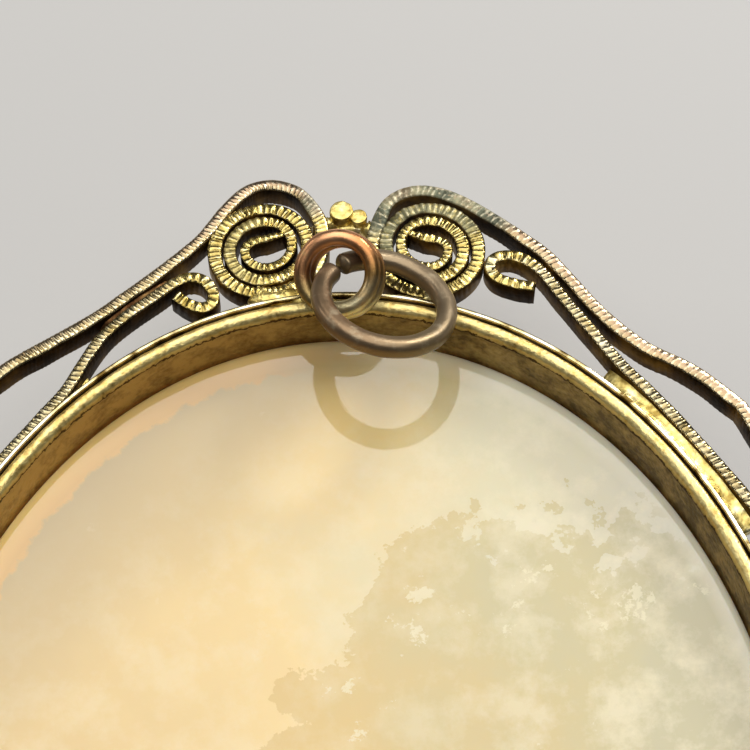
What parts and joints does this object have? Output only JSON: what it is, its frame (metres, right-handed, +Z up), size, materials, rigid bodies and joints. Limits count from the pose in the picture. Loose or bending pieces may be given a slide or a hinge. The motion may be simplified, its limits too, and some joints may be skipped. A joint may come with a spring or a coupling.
{
  "type": "cameo brooch pendant",
  "caption": "Oval shell cameo in a metal bezel with a milled scroll-wire border, lying on its face, with a hanging loop, a loose chain ring and a brooch pin.",
  "frame": {"origin": "middle of the underside of the box around the piece as it lies on its face", "axes": "+X across the piece, +Y towards the hanging loop, +Z up through the hollow back"},
  "size_m": [0.0536, 0.0626, 0.0136],
  "materials": {
    "scroll_metal": "worn gold plate over brass, dark in the hollows",
    "bezel_metal": "worn gold plate over brass",
    "shell": "polished shell",
    "ring_metal": "dull grey-brown bronze",
    "pin_metal": "dull steel"
  },
  "bodies": {
    "root": {"scroll_frame": "scroll_metal", "bezel": "bezel_metal", "cameo": "shell", "chain_ring": "ring_metal", "brooch_pin": "pin_metal"}
  },
  "joints": []
}
